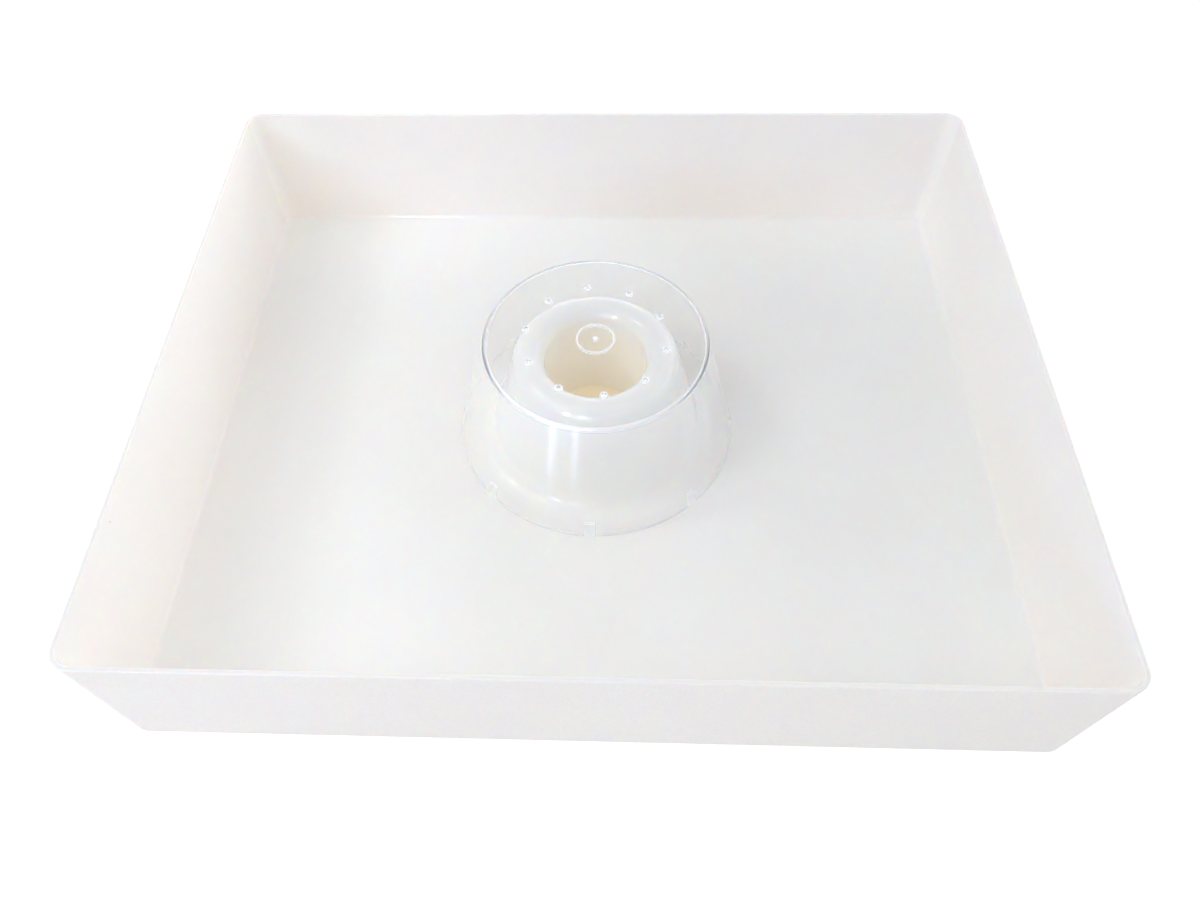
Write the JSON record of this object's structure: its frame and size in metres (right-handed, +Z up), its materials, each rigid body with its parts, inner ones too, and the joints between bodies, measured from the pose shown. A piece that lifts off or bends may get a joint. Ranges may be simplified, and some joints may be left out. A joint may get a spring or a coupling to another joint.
{
  "type": "hive top feeder",
  "caption": "Rectangular moulded syrup tray with a round central bee chimney, covered by a loose clear inverted cup with vent holes and feed notches.",
  "frame": {"origin": "centre of the tray's underside", "axes": "+Z up, +X along the tray's longer side, +Y towards the back wall, the one nearer the chimney"},
  "size_m": [0.51, 0.425, 0.095],
  "materials": {
    "tray_plastic": "off-white translucent polypropylene, glossy inside, finely grained outside",
    "clear_plastic": "clear water-white polystyrene, polished"
  },
  "bodies": {
    "tray": {"feeder_tray": "tray_plastic"},
    "cup": {"clear_cup": "clear_plastic"}
  },
  "joints": [
    {"name": "cup_lift", "type": "slide", "parent": "tray", "child": "cup", "axis": [0, 0, 1], "range_m": [0, 0.12]}
  ]
}
